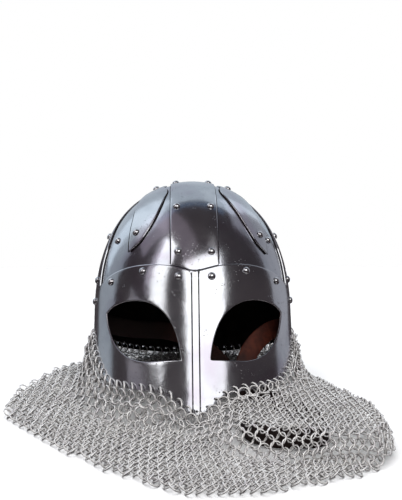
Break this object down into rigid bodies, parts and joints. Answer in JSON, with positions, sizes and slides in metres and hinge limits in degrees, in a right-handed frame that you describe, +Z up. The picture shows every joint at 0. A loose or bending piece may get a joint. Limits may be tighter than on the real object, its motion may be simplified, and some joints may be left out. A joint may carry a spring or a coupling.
{
  "type": "spectacle helmet with mail curtain",
  "caption": "Polished steel dome helmet with riveted bands, an eye mask with nasal rib, a leather chin strap and a curtain of linked mail spread on the surface",
  "frame": {"origin": "on the surface under the middle of the bounding box", "axes": "+X to the left of a viewer behind the face, toward the picture's right; -Y toward the face; +Z up"},
  "size_m": [0.3506, 0.4622, 0.2139],
  "materials": {
    "polished_steel": "hand-polished mirror with fine pits and streaks",
    "rivet_steel": "polished",
    "mail_steel": "bright drawn wire",
    "leather": "oiled, satin"
  },
  "bodies": {
    "root": {"centre_band": "polished_steel", "chin_strap": "leather", "ear_strap_left": "polished_steel", "ear_strap_right": "polished_steel", "face_mask": "polished_steel", "mail_curtain": "mail_steel", "nape_band": "polished_steel", "petal_back_left": "polished_steel", "petal_back_right": "polished_steel", "petal_front_left": "polished_steel", "petal_front_right": "polished_steel", "rivet_band_back_left_1": "rivet_steel", "rivet_band_back_left_2": "rivet_steel", "rivet_band_back_left_3": "rivet_steel", "rivet_band_back_right_1": "rivet_steel", "rivet_band_back_right_2": "rivet_steel", "rivet_band_back_right_3": "rivet_steel", "rivet_band_front_left_1": "rivet_steel", "rivet_band_front_left_2": "rivet_steel", "rivet_band_front_left_3": "rivet_steel", "rivet_band_front_right_1": "rivet_steel", "rivet_band_front_right_2": "rivet_steel", "rivet_band_front_right_3": "rivet_steel", "rivet_ear_back_left_1": "rivet_steel", "rivet_ear_back_left_2": "rivet_steel", "rivet_ear_back_right_1": "rivet_steel", "rivet_ear_back_right_2": "rivet_steel", "rivet_ear_front_left_1": "rivet_steel", "rivet_ear_front_left_2": "rivet_steel", "rivet_ear_front_right_1": "rivet_steel", "rivet_ear_front_right_2": "rivet_steel", "rivet_mask_left_1": "rivet_steel", "rivet_mask_left_2": "rivet_steel", "rivet_mask_left_3": "rivet_steel", "rivet_mask_left_4": "rivet_steel", "rivet_mask_right_1": "rivet_steel", "rivet_mask_right_2": "rivet_steel", "rivet_mask_right_3": "rivet_steel", "rivet_mask_right_4": "rivet_steel", "rivet_nape_left_1": "rivet_steel", "rivet_nape_left_2": "rivet_steel", "rivet_nape_left_3": "rivet_steel", "rivet_nape_right_1": "rivet_steel", "rivet_nape_right_2": "rivet_steel", "rivet_nape_right_3": "rivet_steel", "rivet_petal_back_left_1": "rivet_steel", "rivet_petal_back_left_2": "rivet_steel", "rivet_petal_back_right_1": "rivet_steel", "rivet_petal_back_right_2": "rivet_steel", "rivet_petal_front_left_1": "rivet_steel", "rivet_petal_front_left_2": "rivet_steel", "rivet_petal_front_right_1": "rivet_steel", "rivet_petal_front_right_2": "rivet_steel", "rivet_skull_left": "rivet_steel", "rivet_skull_right": "rivet_steel", "skull": "polished_steel"}
  },
  "joints": []
}
